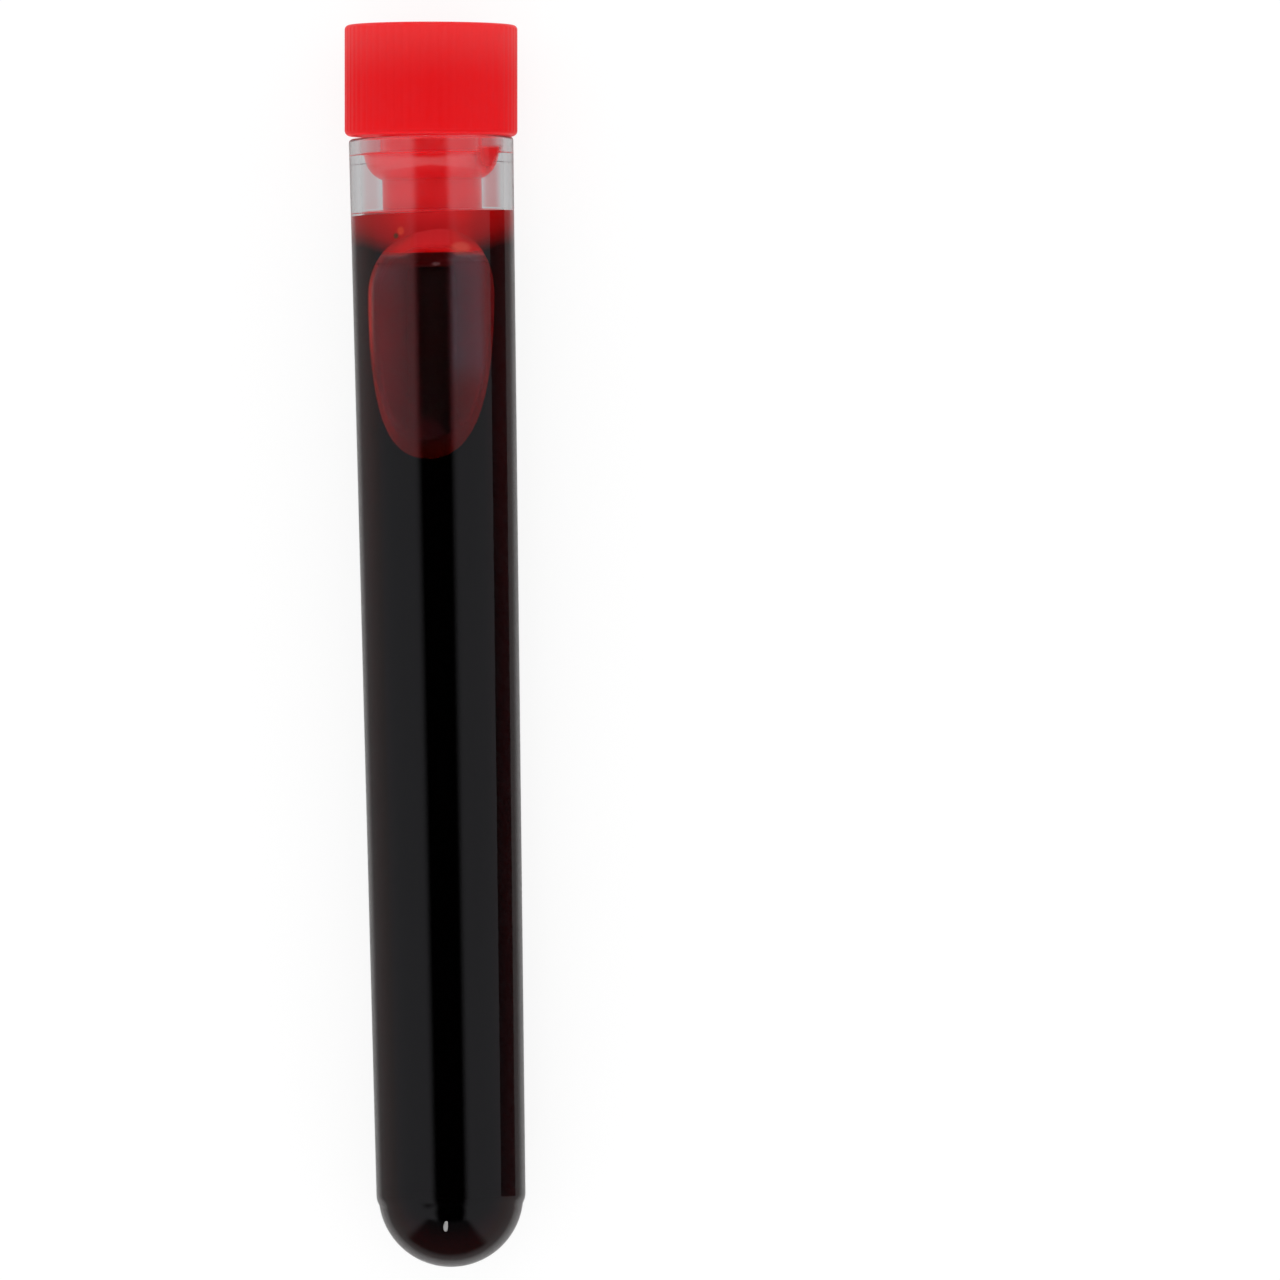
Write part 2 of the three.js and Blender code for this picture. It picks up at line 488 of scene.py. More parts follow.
def tube_shape():
    rim_outer = arc(outside(-RIM_ROUND) - RIM_ROUND, -RIM_ROUND, RIM_ROUND, 0, QUARTER, ROUND_STEPS)
    step = arc(outside(STEP_TOP) - STEP_ROUND, STEP_TOP, STEP_ROUND, -STEP_ANGLE, 0, ROUND_STEPS)
    radius, height = step[0]
    edge = (radius - EDGE_LENGTH * math.tan(STEP_ANGLE), height - EDGE_LENGTH)
    dome_end = math.asin((edge[1] - dome_centre) / dome_radius)
    print(f"step ends at radius {edge[0]:.3f}, the dome there has {dome_radius * math.cos(dome_end):.3f}")
    return turned([
        *arc(0, dome_centre, dome_radius, -QUARTER, dome_end, DOME_STEPS),
        *step,
        *rim_outer,
        (bore(0), 0),
        (bore(seam_height), seam_height),
        *arc(0, dome_centre, inner_dome_radius, 0, -QUARTER, DOME_STEPS),
    ])


finished(tube_shape(), "tube_wall", "tube_body", [polystyrene], ["tube"])

# %% [markdown]
# ## Stopper
# One moulding again: a ribbed head, a neck, and a stem with two lips that seal in the bore. Each lip is a
# bowl that narrows towards the round end, with a thin fin at its widest that touches the wall. The plug
# ends a little below the lower bowl.

# %% Sizes of the stopper
HEAD_OVERHANG = 0.37
NECK_RADIUS = 4.5
STEM_RADIUS = 4.39
UPPER_LIP_DEPTH = 1.5
LIP_SPACING = 5.15
BOWL_INSET = 0.42
BOWL_ROUND = 2.56
TIP_LENGTH = 1.3

head_radius = MOUTH_RADIUS + HEAD_OVERHANG
lower_lip_depth = UPPER_LIP_DEPTH + LIP_SPACING
bowl_centre = bore(-UPPER_LIP_DEPTH) - BOWL_INSET - BOWL_ROUND
bowl_end = -math.acos((STEM_RADIUS - bowl_centre) / BOWL_ROUND)
plug_depth = lower_lip_depth - BOWL_ROUND * math.sin(bowl_end) + TIP_LENGTH
print(f"the head is {2 * head_radius:.2f} mm across, and the plug ends {plug_depth:.2f} mm below the rim")

# %% [markdown]
# The outline runs from the middle of the plug's end outwards and up: the stem, the lower lip, the upper
# lip, the neck, and then the head's skirt, side and top.

# %% Outline of the stopper
LIP_STEPS = 20
FIN = 0.12
FIN_PRESS = 0.02  # how far the fin presses into the wall
FIN_ROOT = 0.1  # how far inside the bowl's edge the fin's upper face starts
SHELF_RISE = 0.03
TIP_ROUND = 0.15
TIP_STEPS = 5
TOP_ROUND = 0.4
SKIRT_ROUND = 0.5
TOP_TRIM = 0.18  # the head is a shade shorter than in the frame


def lip(depth, stem_above):
    """One lip from its bowl's lower end up to the stem above it."""
    fin = bore(-depth) + FIN_PRESS
    bowl_start = -math.asin(FIN / BOWL_ROUND)
    return [
        *arc(bowl_centre, -depth, BOWL_ROUND, bowl_end, bowl_start, LIP_STEPS),
        (fin, -depth - FIN / 4),
        (fin, -depth + FIN / 4),
        (bowl_centre + BOWL_ROUND - FIN_ROOT, -depth + FIN),
        (stem_above, -depth + FIN + SHELF_RISE),
    ]


def plug_outline():
    return [
        (0, -plug_depth),
        *arc(STEM_RADIUS - TIP_ROUND, TIP_ROUND - plug_depth, TIP_ROUND, -QUARTER, 0, TIP_STEPS),
        *lip(lower_lip_depth, STEM_RADIUS),
        *lip(UPPER_LIP_DEPTH, NECK_RADIUS),
        (NECK_RADIUS, HEAD_GAP),
    ]


def head_outline():
    skirt = HEAD_GAP + SKIRT_ROUND
    top = HEAD_GAP + HEAD_HEIGHT - TOP_TRIM
    return [
        *arc(head_radius - SKIRT_ROUND, skirt, SKIRT_ROUND, -QUARTER, 0, ROUND_STEPS),
        *arc(head_radius - TOP_ROUND, top - TOP_ROUND, TOP_ROUND, 0, QUARTER, ROUND_STEPS),
        (0, top),
    ]


stopper_outline = [*plug_outline(), *head_outline()]
print(f"the stopper's outline has {len(stopper_outline)} points")

# %% [markdown]
# The head's ribs are too fine to be modelled one by one. The outline is turned in many steps, and the
# corners of the head's side are then pressed in by a wave that goes round it. Last, the whole head is set
# askew.

# %% Stopper
RIBS = 60
RIB_DEPTH = 0.04
RIB_STEPS = 8
ASKEW_RISE = 0.04


def stopper_shape():
    shape = turned(stopper_outline, RIBS * RIB_STEPS)
    groove = head_radius - RIB_DEPTH
    for corner in shape.verts:
        across, _, up = corner.co
        radius = math.hypot(across, up)
        if radius > groove:
            wave = 0.5 + 0.5 * math.cos(RIBS * math.atan2(across, up))
            depth = (radius - groove) * wave**2
            corner.co.x -= across / radius * depth
            corner.co.z -= up / radius * depth
    head = [corner for corner in shape.verts if corner.co.y > HEAD_GAP / 2]
    bmesh.ops.transform(shape, matrix=Matrix.Rotation(-ASKEW, 4, "Z"), verts=head)
    bmesh.ops.translate(shape, vec=(0, ASKEW_RISE, 0), verts=head)
    return shape


finished(stopper_shape(), "red_stopper", "stopper_body", [polyethylene], ["stopper"])

# %% [markdown]
# ## Air pocket
# The tube isn't quite full, so an air pocket lies along the top of its bore, below the stopper. Its outline
# on the wall is rounded at the stopper and long and narrow at the other end. It is drawn as two halves of a
# rounded rectangle, each with a power of its own, and bent a little sideways, as the edge of a bubble is
# seldom even.

# %% Outline of the pocket
POCKET_START = -8.25
POCKET_WIDEST = -14.0
POCKET_END = -28.4
POCKET_ANGLE = math.radians(55.5)  # half its width on the wall, round the tube's axis
START_POWER = 1.93
END_POWER = 2.3
DRIFT = math.radians(-5.5)  # how far the far end lies off the top of the bore
DRIFT_POWER = 0.75
TWIST = math.radians(6.5)  # and the near end, the other way
TWIST_LENGTH = 1.3


def on_outline(turn):
    """Where the pocket's outline is on the bore: angle round the axis, height along it."""
    sideways = math.sin(turn)
    towards_end = math.cos(turn)
    if towards_end > 0:
        power, length = END_POWER, POCKET_WIDEST - POCKET_END
    else:
        power, length = START_POWER, POCKET_START - POCKET_WIDEST
    share = math.copysign(abs(sideways) ** (2 / power), sideways)
    height = POCKET_WIDEST - math.copysign(abs(towards_end) ** (2 / power), towards_end) * length
    run = (POCKET_START - height) / (POCKET_START - POCKET_END)
    twisted = TWIST * math.exp((height - POCKET_START) / TWIST_LENGTH)
    middle = DRIFT * max(run, 0) ** DRIFT_POWER + twisted
    return middle + POCKET_ANGLE * share, height


for turn in range(0, 360, 45):
    angle, height = on_outline(math.radians(turn))
    print(f"outline at {turn}: {math.degrees(angle):.1f} degrees, height {height:.2f}")

# %% [markdown]
# Inside the pocket the blood lies level and climbs the wall a little. The solid of air starts as a square
# grid, whose border is drawn out to the outline and whose middle is laid on the level of the blood. Its rim
# is then extruded up past the wall and closed, and the whole is later cut out of the blood.

# %% Solid of air
POCKET_CELLS = 64
LEVEL = 2.3  # height of the blood's level surface above the tube's axis
LEVEL_ASIDE = -0.2  # where the middle of that surface is
CLIMB = 0.87  # share of the way from the middle to the outline at which the blood starts to climb the sides
END_CLIMB = 0.53
CLIMB_CHANGE = 1.5  # how soon the climb at the far end becomes the climb at the sides
MEET = 0.93  # under 1, so that the blood meets the wall at an angle
POCKET_RIM = (0.6, 1.01)  # how far the rim is raised first, and how much it widens
POCKET_LID = (8.0, 1.2)


def pocket_point(u, v):
    """A grid's point, from -1 to 1 each way, on the blood's free surface."""
    reach = max(abs(u), abs(v))
    turn = math.atan2(u, v) if reach else 0.0
    angle, height = on_outline(turn)
    radius = bore(height)
    edge = Vector((radius * math.sin(angle), height, radius * math.cos(angle)))
    middle = Vector((LEVEL_ASIDE, (POCKET_START + POCKET_END) / 2, 0))
    flat = middle.lerp(edge, reach)
    start = END_CLIMB + (CLIMB - END_CLIMB) * min(1, abs(math.sin(turn)) * CLIMB_CHANGE)
    if math.cos(turn) < 0:
        start = CLIMB
    climb = MEET * max(0, (reach - start) / (1 - start))
    rise = (1 - math.sqrt(1 - climb**2)) / (1 - math.sqrt(1 - MEET**2))
    flat.z = LEVEL + (edge.z - LEVEL) * rise
    return flat


def pocket_shape():
    shape = bmesh.new()
    bmesh.ops.create_grid(shape, x_segments=POCKET_CELLS, y_segments=POCKET_CELLS, size=1)
    for corner in shape.verts:
        u, v, _ = corner.co
        corner.co = pocket_point(u, v)
    rim = [edge for edge in shape.edges if edge.is_boundary]
    for rise, spread in (POCKET_RIM, POCKET_LID):
        raised = bmesh.ops.extrude_edge_only(shape, edges=rim)["geom"]
        for corner in (part for part in raised if isinstance(part, bmesh.types.BMVert)):
            corner.co.x *= spread
            corner.co.z += rise
        rim = [part for part in raised if isinstance(part, bmesh.types.BMEdge)]
    bmesh.ops.holes_fill(shape, edges=rim)
    bmesh.ops.recalc_face_normals(shape, faces=shape.faces)
    return shape


print(f"the blood lies {LEVEL:.1f} mm above the axis, in a bore of {bore(POCKET_WIDEST):.2f} mm radius")

# %% [markdown]
# ## Blood behind the wall
# Deep blood is nearly black. Where it is thin, over the lower lip, light comes through it and it is bright
# red, and this red is painted on the blood's surface; a little froth and a dark clot have stayed there. The
# mask for thin blood is a smooth ramp down the tube, which reaches less far at the sides. Further down, a
# faint red glow is painted towards both sides, where the wall is seen at a slant, for the light that comes
# through the blood there.

# %% Blood behind the wall
CLOT_PLACE = (-0.49, 8.78)  # angle round the axis, depth below the rim
CLOT_SIZE = (0.05, 0.36)
CLOT_COLOUR = (0.11, 0.022, 0.004, 1)
FROTH_PLACE = (-0.42, 8.35)
FROTH_SIZE = (0.068, 0.50)
FROTH_COLOUR = (0.64, 0.036, 0.012, 1)
DEEP_RED = 0.0004
SIDE_GLOW = 0.018
END_GLOW = 0.011


def blood_behind_wall():
    """Blood where it wets the wall: painted red where it is thin over the lip, a painted glow at the sides,
    nearly black where it is deep.
    """
    board = new_board("blood_behind_wall")
    across, along, up = board.split(board.places())
    angle = across.angle(up)
    side = abs(angle)
    depth = 0 - along
    thin = depth.step(6.6, 8.6, 0.66, 0.50) * side.step(0.38, 0.68, 1.0, 0.80)
    thin = thin * side.step(0.6, 1.1, 1.0, 0.85)
    reach = side.step(0.3, 1.2, 0.7, -0.3)
    red = thin * (depth - reach).step(7.9, 10.35, 1.0, 0.0)
    slope = up / (along * (DRAFT / -seam_height) + bore(0))
    slope = slope - depth.step(93.0, 97.0, 0.0, 0.17)
    # a painted glow of light through the blood, towards the sides and over the round end
    glow = slope.step(0.80, 0.45, DEEP_RED, depth.step(25.0, 45.0, SIDE_GLOW, END_GLOW))
    total = red.most(glow)
    gleam = side.step(0.20, 0.42, 0.026, 0.002)
    colour = board.colour(total, total * gleam + 0.0002, total * gleam * 1.2 + 0.0003)
    froth = board.spot((angle, depth), FROTH_PLACE, FROTH_SIZE)
    clot = board.spot((angle, depth), CLOT_PLACE, CLOT_SIZE)
    colour = board.mix(froth, colour, FROTH_COLOUR)
    colour = board.mix(clot, colour, CLOT_COLOUR)
    return board.surface(board.plastic({
        "Base Color": colour,
        "Roughness": 0.3,
        "Specular IOR Level": 0.0,
    }))


behind_wall = blood_behind_wall()

# %% [markdown]
# ## Free surface of the blood
# The free surface in the pocket is still wet, so it mirrors what is above it. Light is painted into its
# colour: it is painted redder towards its sides, where light comes through the thin blood on the wall, and
# bright beside the stopper, where light comes through the plug.

# %% Free surface of the blood
WET_SHINE = 0.06  # roughness of the level blood
DULL_SHORE = 0.6
BLOOD_INDEX = 1.35


def blood_free():
    """Blood's free surface in the air pocket."""
    board = new_board("blood_free")
    across, along, _ = board.split(board.places())
    aside = abs(across - LEVEL_ASIDE)
    depth = 0 - along
    # painted light: redder towards the sides and bright beside the stopper
    red = aside.step(1.2, 5.4, 0.003, 0.11) * depth.step(27.0, 25.0, 0.5, 1.0)
    red = red + aside.step(1.6, 2.4) * depth.step(12.8, 10.3) * 0.05
    near = depth.step(8.6, 9.2, 0.62, 0.45) * depth.step(9.1, 10.45, 1.0, 0.11) * depth.step(11.8, 11.3)
    total = red.most(near)
    return board.surface(board.plastic({
        "Base Color": board.colour(total, total * 0.05 + 0.002, total * 0.06 + 0.002),
        "Roughness": depth.step(10.0, 12.0, DULL_SHORE, WET_SHINE),
        "IOR": BLOOD_INDEX,
    }))


free_surface = blood_free()

# %% [markdown]
# ## Blood
# The blood fills the bore from the lower lip down. Its outside lies a hair inside the plastic, so that no
# film of air is left between them: light then passes from the plastic straight into the blood, as it does
# in the real tube. The stopper's end leaves its own hollow in it, and its edge on the wall leans a little.

# %% Blood before the cut
BLOOD_PRESS = 0.024
BLOOD_GAP = 0.03  # between the blood and the stopper
BLOOD_STEPS = 16
EDGE_THICKNESS = 0.01
MIDWAY = -30
SHORE_LEAN = 0.023  # the blood stands a little higher on one side
SHORE_RISE = 0.04

blood_top = -lower_lip_depth - FIN


def blood_outline():
    grown = BOWL_ROUND + BLOOD_GAP
    start = -math.asin((FIN + EDGE_THICKNESS) / grown)
    end = -math.acos((STEM_RADIUS + BLOOD_GAP - bowl_centre) / grown)
    return [
        *arc(0, dome_centre, inner_dome_radius + BLOOD_PRESS, -QUARTER, 0, DOME_STEPS),
        (bore(seam_height) + BLOOD_PRESS, seam_height),
        (bore(MIDWAY) + BLOOD_PRESS, MIDWAY),
        (bore(blood_top) + BLOOD_PRESS, blood_top),
        *arc(bowl_centre, -lower_lip_depth, grown, start, end, BLOOD_STEPS),
        (STEM_RADIUS + BLOOD_GAP, -plug_depth - BLOOD_GAP),
        (0, -plug_depth - BLOOD_GAP),
    ]


def leaning(shape):
    """Tilts the blood's edge on the wall."""
    for corner in shape.verts:
        across, along, up = corner.co
        if abs(along - blood_top) < EDGE_THICKNESS and math.hypot(across, up) > bore(blood_top):
            corner.co.y += SHORE_RISE + SHORE_LEAN * across
    return shape


blood_shape = leaning(turned(blood_outline()))
print(f"before the cut the blood holds {blood_shape.calc_volume() / 1000:.2f} ml")

# %% [markdown]
# The pocket is cut out with a Boolean, because the wall and the free surface meet in a curved line that no
# spin or extrusion would give. The faces of the pocket take their own material along.

# %% Blood
def without_pocket(fill, pocket):
    """Cuts the pocket out of the fill and gives the result as a bmesh."""
    cut = fill.modifiers.new("pocket", "BOOLEAN")
    cut.operation = "DIFFERENCE"
    cut.solver = "EXACT"
    cut.object = pocket
    evaluated = fill.evaluated_get(bpy.context.evaluated_depsgraph_get())
    shape = bmesh.new()
    shape.from_mesh(bpy.data.meshes.new_from_object(evaluated))
    bpy.data.objects.remove(fill)
    bpy.data.objects.remove(pocket)
    return shape


fill = as_object(blood_shape, "fill")
pocket = as_object(pocket_shape(), "pocket")
blood_materials = [behind_wall, free_surface]
for material in blood_materials:
    fill.data.materials.append(material)
    pocket.data.materials.append(material)
for face in pocket.data.polygons:
    face.material_index = blood_materials.index(free_surface)
finished(without_pocket(fill, pocket), "blood_fill", "tube_body", blood_materials, ["blood"])

# %% [markdown]
# ## Blood film
# Blood has run down the dry wall over the pocket and left a thin film on it. The film is clear red and
# colours the light that passes and the light that the wall reflects. Beside the stopper and along its
# border it is thick enough to be cloudy. Along its left border the cloudy red is a painted glow of light
# through the thin blood there, and one small painted glint stands for a highlight. So its material blends
# a clear shader with a matte one.

# %% How cloudy and how thin the film is
FILM_GLINT = 0.13
BORDER_GLOW = 0.38
LEAST_HAZE = 0.008


def film_haze(board, across, depth, rim):
    """How cloudy the film is: beside the stopper, along its left border as a painted glow, and in one small
    painted glint.
    """
    near = (depth - abs(across).step(1.3, 2.4) * 0.45).step(9.50, 10.50, 0.45, 0.009)
    # a painted red glow along the left border
    left = across.step(-2.5, -4.0) * depth.step(20.5, 15.5, 0.15, 1.0) * depth.step(11.0, 14.0, 0.2, 1.0)
    edge = rim * (left * BORDER_GLOW + LEAST_HAZE)
    # a painted glint, a small highlight
    glint = board.spot((across, depth), (0.35, 11.32), (0.42, 0.20)) * FILM_GLINT
    return near + edge + glint


def film_thinness(across, depth):
    """How little the clear film colours the light. It is thinnest at the right."""
    right = across.step(0.8, 1.8) * across.step(4.6, 3.8, 0.3, 1.0) * depth.step(24.5, 19.5)
    left = depth.step(11.0, 15.5, 0.80, 0.40) * across.step(-1.8, -3.2, 0.45, 1.0)
    return (right * depth.step(9.9, 10.9)).most(left * depth.step(10.3, 12.0))


print(f"the film's border has a haze of {LEAST_HAZE} to {LEAST_HAZE + BORDER_GLOW}")

# %% [markdown]
# The cloudy part is a red arch beside the stopper, with an orange patch where light comes through it, and a
# greyish veil further down.

# %% Blood film's material
ARCH_MIDDLE = (0.95, 0.055, 0.065, 1)
ARCH_SIDE = (0.9, 0.02, 0.02, 1)
ARCH_SHOULDER = (0.72, 0.020, 0.018, 1)
ORANGE = (0.95, 0.16, 0.10, 1)
VEIL = (0.45, 0.40, 0.42, 1)
BORDER_RED = (0.85, 0.06, 0.04, 1)
CLEAR_RED = (0.98, 0.33, 0.34, 1)
CLEAR_PINK = (0.98, 0.83, 0.875, 1)


def film_colour(board, across, depth, rim):
    """Colour of the film where it is cloudy."""
    arch = board.mix(abs(across).step(1.3, 1.7), ARCH_MIDDLE, ARCH_SIDE)
    patch = board.spot((across, depth), (2.4, 9.95), (1.1, 0.7)) * 0.8
    arch = board.mix(patch, arch, ORANGE)
    off = across - 0.3
    shoulder = (depth - 8.60 - off * off * 0.115).step(0.20, -0.30) * (off * off).step(2.0, 6.0)
    arch = board.mix(shoulder, arch, ARCH_SHOULDER)
    colour = board.mix(depth.step(10.2, 10.8), arch, VEIL)
    return board.mix(rim, colour, BORDER_RED)


def film_material():
    board = new_board("blood_film")
    across, along, _ = board.split(board.places())
    depth = 0 - along
    border = board.node("ShaderNodeAttribute", {"attribute_name": "reach"})[2]
    rim = border.step(0.86, 0.96) * depth.step(10.2, 11.2)
    cloudy = board.plastic({
        **MATT,
        "Base Color": film_colour(board, across, depth, rim),
    })
    clear = board.blend(film_thinness(across, depth), board.clear(CLEAR_RED), board.clear(CLEAR_PINK))
    return board.surface(board.blend(film_haze(board, across, depth, rim), clear, cloudy))


clear_film = film_material()

# %% [markdown]
# The film itself is a grid laid on the bore, which Solidify makes a closed sheet. An attribute holds how
# far each point is from the middle, from 0 to 1, for the material to find the border by.

# %% Blood film
FILM_PRESS = 0.012
FILM_THICKNESS = 0.024


def film_shape(point):
    """A thin sheet on the wall, from a grid whose points run from -1 to 1 each way."""
    shape = bmesh.new()
    bmesh.ops.create_grid(shape, x_segments=POCKET_CELLS, y_segments=POCKET_CELLS, size=1)
    border = shape.verts.layers.float.new("reach")
    for corner in shape.verts:
        u, v, _ = corner.co
        angle, height = point(u, v)
        radius = bore(height) + FILM_PRESS
        corner.co = (radius * math.sin(angle), height, radius * math.cos(angle))
        corner[border] = max(abs(u), abs(v))
    bmesh.ops.recalc_face_normals(shape, faces=shape.faces)
    bmesh.ops.solidify(shape, geom=shape.faces, thickness=FILM_THICKNESS)
    return shape


def over_pocket(u, v):
    """A point of the film over the air pocket: angle round the axis, height along it."""
    reach = max(abs(u), abs(v))
    angle, height = on_outline(math.atan2(u, v) if reach else 0.0)
    return DRIFT / 2 + (angle - DRIFT / 2) * reach, POCKET_WIDEST + (height - POCKET_WIDEST) * reach


finished(film_shape(over_pocket), "blood_film", "tube_body", [clear_film])

# %% [markdown]
# ## Wet patch
# At the right of the upper lip a little blood fills the gap between the bowl and the wall. The patch is
# widest at the lip, follows the bowl's side, and fades out to the left and downwards. Thinner blood lets
# more light through, so a faint glow is painted into the patch where it is thin. The sheet is larger than
# the patch, and the patch is painted on it, so that its edges are soft.

# %% Wet patch
WET_RED = (0.93, 0.022, 0.026, 1)
THIN_RED = (0.90, 0.08, 0.085, 1)
THIN_GLOW = (0.13, 0.02, 0.022, 1)
WET_ANGLES = (50, 18)  # middle of the sheet and half of its width, in degrees
WET_HEIGHTS = (-2.45, -1.65)  # middle of the sheet and half of its length, downwards


def wet_material():
    """Blood that wets the wall, thinner further down."""
    board = new_board("wet_patch")
    across, along, _ = board.split(board.places())
    depth = 0 - along
    below_lip = depth - UPPER_LIP_DEPTH
    cover = across.step(3.6, 4.75) * (across + below_lip * 0.35).step(5.75, 5.3)
    cover = cover * depth.step(0.80, 1.30) * depth.step(4.1, 1.4)
    # a painted glow where the patch is thin
    wet = board.plastic({
        **MATT,
        "Base Color": board.mix(cover, THIN_RED, WET_RED),
        "Emission Color": board.mix(cover, THIN_GLOW, BLACK),
        "Emission Strength": 1.0,
    })
    return board.surface(board.blend(cover, board.clear(WHITE), wet))


def on_wall(angles, heights, side=1):
    """Points of a sheet on the wall, of that middle and half size, on the right or (-1) on the left."""
    def point(u, v):
        return side * math.radians(angles[0] + angles[1] * u), heights[0] + heights[1] * v
    return point


finished(film_shape(on_wall(WET_ANGLES, WET_HEIGHTS)), "wet_patch", "tube_body", [wet_material()])

# %% [markdown]
# ## Stains
# Old blood has left marks on the dry wall that only colour the light, and the painted red light beside the
# stem is made in the same way. They share one kind of material: clear, with a second clear shader of the
# stain's colour mixed in where the stain is. Light crosses both faces of a sheet, so a stain colours it
# twice.

# %% Stain material
def stain_material(name, colour, cover):
    """Clear where cover is 0, and colours the light that passes where it is 1."""
    board = new_board(name)
    across, _, _ = board.split(board.places())
    return board.surface(board.blend(cover(across), board.clear(WHITE), board.clear(colour)))


print(f"a stain's sheet is {FILM_THICKNESS} mm thick")

# %% [markdown]
# ## Dried line
# Blood once stood at the upper lip and dried to a fine line round the wall, which shows beside the bowl
# only. It is a narrow turned band.

# %% Dried line
LINE_HEIGHT = -2.35
LINE_WIDTH = 0.07
BROWN = (0.80, 0.74, 0.75, 1)


def beside_bowl(across):
    return abs(across).step(5.0, 5.8)


def line_outline():
    """A thin band round the bore, where blood once stood."""
    outer = bore(LINE_HEIGHT) + FILM_PRESS
    inner = outer - FILM_THICKNESS
    top = LINE_HEIGHT + LINE_WIDTH / 2
    bottom = LINE_HEIGHT - LINE_WIDTH / 2
    return [(inner, bottom), (outer, bottom), (outer, top), (inner, top), (inner, bottom)]


brown = stain_material("dried_blood", BROWN, beside_bowl)
finished(turned(line_outline()), "dried_line", "tube_body", [brown])

# %% [markdown]
# ## Smear at the neck
# A faint pink smear is left on the wall on either side of the neck, stronger on the right. It is a wider
# turned band.

# %% Smear at the neck
SMEAR_START = -0.25
SMEAR_END = -1.45
PINK = (1.0, 0.66, 0.67, 1)
LEFT_SMEAR = 0.62  # how strong the smear is at the left, against the right


def beside_neck(across):
    off = abs(across)
    return off.step(3.9, 4.1) * off.step(6.4, 5.0) * across.step(-1.0, 1.0, LEFT_SMEAR, 1.0)


def smear_outline():
    wall = [(bore(height) + FILM_PRESS, height) for height in (SMEAR_END, SMEAR_START)]
    inner = [(radius - FILM_THICKNESS, height) for radius, height in reversed(wall)]
    return [*wall, *inner, wall[0]]


pink = stain_material("smeared_blood", PINK, beside_neck)
finished(turned(smear_outline()), "smear", "tube_body", [pink])

# %% [markdown]
# ## Painted red light beside the stem
# Lower down, between the upper lip and the blood, a faint pink of red light scattered from the stopper and
# the blood is painted on the wall on either side of the stem. A whole band would be crossed many times by
# the light that runs round inside the wall, and would darken it. Two sheets, one on each side, are enough.

# %% Painted red light beside the stem
STEM_LIGHT_ANGLES = (53.4, 13.0)  # as for the wet patch
STEM_LIGHT_HEIGHTS = (-4.40, -1.95)
PALE_PINK = (1.0, 0.79, 0.795, 1)
LEFT_STEM_LIGHT = 0.42


def beside_stem(across):
    off = abs(across)
    return off.step(4.0, 4.75) * off.step(5.78, 5.15) * across.step(-1.0, 1.0, LEFT_STEM_LIGHT, 1.0)


# a painted pink of red light scattered from the stopper and the blood
stem_light = stain_material("painted_red_light", PALE_PINK, beside_stem)
for side, name in ((-1, "left_red_light"), (1, "right_red_light")):
    sheet = film_shape(on_wall(STEM_LIGHT_ANGLES, STEM_LIGHT_HEIGHTS, side))
    finished(sheet, name, "tube_body", [stem_light])

# %% [markdown]
# ## Table
# The tube lies on a plain white table. To the rays that see it, it glows by itself and reflects only a
# little, so that it is white and still shows the tube's soft shadow. To the light that it throws back on
# things it is a plain pale colour. Light Path tells the rays apart: the camera's, those that come through
# the clear wall, which see the table glow less as painted shade under the tube, and those that the gloss
# mirrors, which see a darker table with a dark opening beyond the round end.

# %% Table's material
LIT_COLOUR = 0.9  # for the light that the table throws back on things
SEEN_COLOUR = 0.18
CAMERA_GLOW = 0.44
SEEN_GLOW = 0.40
NEAR_LEVEL = 0.64
FAR_LEVEL = 0.28
OPENING_TURN = 0.10  # how far the dark opening is turned from straight ahead
OPENING_EDGE = (0.60, 0.80, 1.0, 0.0)  # half of its width, as a ramp from dark to light


def table_material():
    board = new_board("white_table")
    rays = board.rays()
    first = 1 - rays["Diffuse Depth"].least(1)  # 0 once the ray has met something matt
    seen = rays["Is Camera Ray"].most(rays["Is Transmission Ray"]) * first
    mirrored = rays["Is Glossy Ray"] * (1 - rays["Is Transmission Ray"]) * first
    across, along, _ = board.split(board.places())
    beyond = (along - dome_centre).least(0)
    away = (across * across + beyond * beyond).root()
    near = (away + beyond.step(0.0, -5.0, 0.0, -4.0)).step(10.5, 17.0, NEAR_LEVEL, FAR_LEVEL)
    bearing = across.angle(0 - beyond)
    wedge = abs(bearing + OPENING_TURN).step(*OPENING_EDGE) * away.step(20.0, 42.0, 0.0, 0.84)
    level = near * (1 - wedge)
    shade = seen * SEEN_COLOUR + (1 - seen) * (mirrored * level + (1 - mirrored) * LIT_COLOUR)
    # seen through the clear wall the table glows less: painted shade under the tube
    glow = seen * (rays["Is Camera Ray"] * CAMERA_GLOW + SEEN_GLOW)
    return board.surface(board.plastic({
        **MATT,
        "Base Color": board.mix(shade, BLACK, WHITE),
        "Emission Color": board.mix(glow, BLACK, WHITE),
        "Emission Strength": 1.0,
    }))


white_table = table_material()

# %% [markdown]
# The table is one large flat face. It is part of the stage, not of the object.

# %% Table
TABLE_SIZE = 6.0

shape = bmesh.new()
bmesh.ops.create_grid(shape, x_segments=1, y_segments=1, size=TABLE_SIZE / 2)
table = as_object(shape, "table")
table.data.materials.append(white_table)
print(f"the table is {TABLE_SIZE:.0f} m wide")

# %% [markdown]
# ## Light
# Soft white light comes from all round. Reflections see the world in another way, as a small studio: a
# white panel on either side, a dark gap between them above the tube, and a dark opening beyond its round
# end with one small lamp in it.

# %% World
PLAIN = 1.0  # level of the light that falls on things
PANEL = 0.31  # level of the panels in the outer gloss
INNER_PANEL = 0.8  # and in the gloss inside the tube
OPENING = 0.16  # how much of that is left in the dark opening beyond the round end
INNER_LIGHT = 1.6  # makes up for what the wall takes from the light that falls on things inside
COOL = (0.98, 0.98, 1.05, 1)


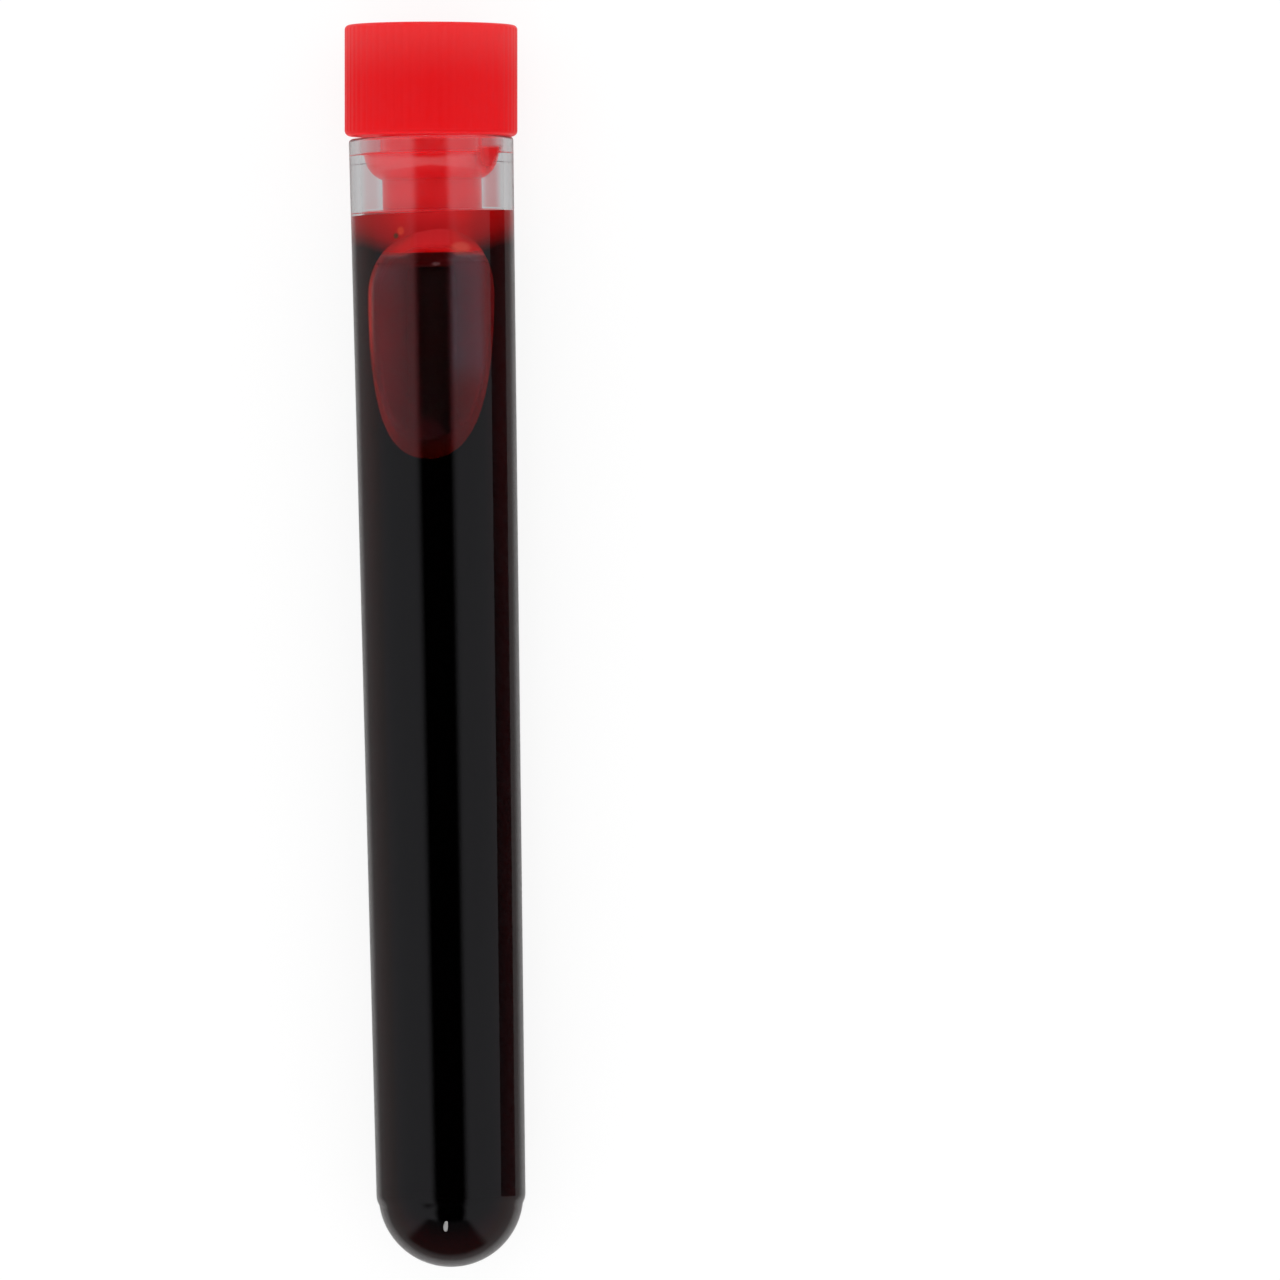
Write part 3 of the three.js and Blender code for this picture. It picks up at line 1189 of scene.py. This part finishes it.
def studio_world():
    world = bpy.data.worlds.new("studio")
    board = Board(world)
    x, y, z = board.split(board.node("ShaderNodeTexCoord")[0])
    across = abs(x).angle(z)
    ahead = (0 - y).angle(z)
    bearing = x.angle(0 - y)
    opening = abs(bearing + OPENING_TURN).step(*OPENING_EDGE) * ahead.step(0.65, 0.80)
    panel = across.step(0.33, 0.56) * (1 - opening) + opening * OPENING
    rays = board.rays()
    lighting = rays["Diffuse Depth"].least(1)  # 1 for light that falls on something matt
    inside = rays["Is Transmission Ray"]
    low = inside * z.step(0.02, 0.15, 1.0, 0.0)  # white near the horizon, as the table is
    studio = (panel * (inside * (INNER_PANEL - PANEL) + PANEL)).most(low)
    light = inside * (INNER_LIGHT - PLAIN) + PLAIN
    level = lighting * light + (1 - lighting) * studio
    level = rays["Is Camera Ray"].most(level)
    cool = board.mix(rays["Is Glossy Ray"] * (1 - lighting), WHITE, COOL)
    background = board.node("ShaderNodeBackground", {}, {"Color": cool, "Strength": level})[0]
    board.node("ShaderNodeOutputWorld", {}, {"Surface": background})
    world.cycles.sampling_method = "NONE"
    print(f"{world.name}: {len(board.tree.nodes)} nodes")
    return world


bpy.context.scene.world = studio_world()

# %% [markdown]
# ## Lamp
# One small oval lamp hangs beyond the round end. It is seen only as a glint where the round end mirrors it,
# so it is placed by its direction from the tube. Its energy is worked out from how bright its face should
# look.

# %% Lamp
LAMP_DISTANCE = 0.7
LAMP_TILT = math.radians(51.5)
LAMP_BEARING = math.radians(9)
LAMP_WIDTH = 0.075
LAMP_LENGTH = 0.22
LAMP_RADIANCE = 6.0

lamp_area = math.pi * LAMP_WIDTH * LAMP_LENGTH / 4
light = bpy.data.lights.new("small_lamp", "AREA")
light.shape = "ELLIPSE"
light.size = LAMP_WIDTH
light.size_y = LAMP_LENGTH
light.energy = LAMP_RADIANCE * math.pi * lamp_area
lamp = bpy.data.objects.new("small_lamp", light)
towards = Vector((
    -math.sin(LAMP_BEARING) * math.sin(LAMP_TILT),
    -math.cos(LAMP_BEARING) * math.sin(LAMP_TILT),
    math.cos(LAMP_TILT),
))
lamp.location = towards * LAMP_DISTANCE
lamp.rotation_euler = towards.to_track_quat("Z", "Y").to_euler()
bpy.context.scene.collection.objects.link(lamp)
print(f"the lamp gives {light.energy:.3f} W from {LAMP_DISTANCE} m away")

# %% [markdown]
# ## Black card
# A low black card stands beside the tube, out of the camera's sight. It gives the glassy wall a dark streak
# along its right side. Only reflections see it: it throws no shadow and doesn't show through the clear
# wall.

# %% Black card
CARD_PLACE = 0.0225
CARD_ALONG = -0.001
CARD_HEIGHT = 0.0128
CARD_LENGTH = 0.100
CARD_COLOUR = (0.075, 0.065, 0.068, 1)

shape = bmesh.new()
bmesh.ops.create_grid(shape, x_segments=1, y_segments=1, size=1 / 2)
bmesh.ops.transform(shape, matrix=Matrix.Rotation(QUARTER, 4, "Y"), verts=shape.verts)
bmesh.ops.scale(shape, vec=(1, CARD_LENGTH, CARD_HEIGHT), verts=shape.verts)
bmesh.ops.translate(shape, vec=(CARD_PLACE, CARD_ALONG, CARD_HEIGHT / 2), verts=shape.verts)
card = as_object(shape, "black_card")
board = new_board("black_card")
card.data.materials.append(board.surface(board.node("ShaderNodeBsdfDiffuse", {}, {"Color": CARD_COLOUR})[0]))
card.visible_camera = False
card.visible_diffuse = False
card.visible_transmission = False
card.visible_shadow = False

# %% [markdown]
# ## Camera
# The camera looks straight down from a little under a metre with a long lens, so that the tube hardly gets
# smaller towards its ends. It is turned by a degree. Its lens is worked out from how wide the view is at
# the height of the tube's axis.

# %% Camera
CAMERA_HEIGHT = 0.95
VIEW_WIDTH = 0.11329
SENSOR = 36.0
ROLL = math.radians(1.07)
ASIDE = 0.01766
AHEAD = 0.00013
FURTHEST = 10.0

camera_data = bpy.data.cameras.new("camera")
camera_data.sensor_width = SENSOR
camera_data.lens = SENSOR * CAMERA_HEIGHT / VIEW_WIDTH
camera_data.clip_end = FURTHEST
camera = bpy.data.objects.new("camera", camera_data)
camera.location = (ASIDE, AHEAD, mouth.z + CAMERA_HEIGHT)
camera.rotation_euler = (0, 0, -ROLL)
bpy.context.scene.collection.objects.link(camera)
bpy.context.scene.camera = camera
bpy.context.scene.view_settings.view_transform = "Standard"
print(f"the lens is {camera_data.lens:.0f} mm")

# %% [markdown]
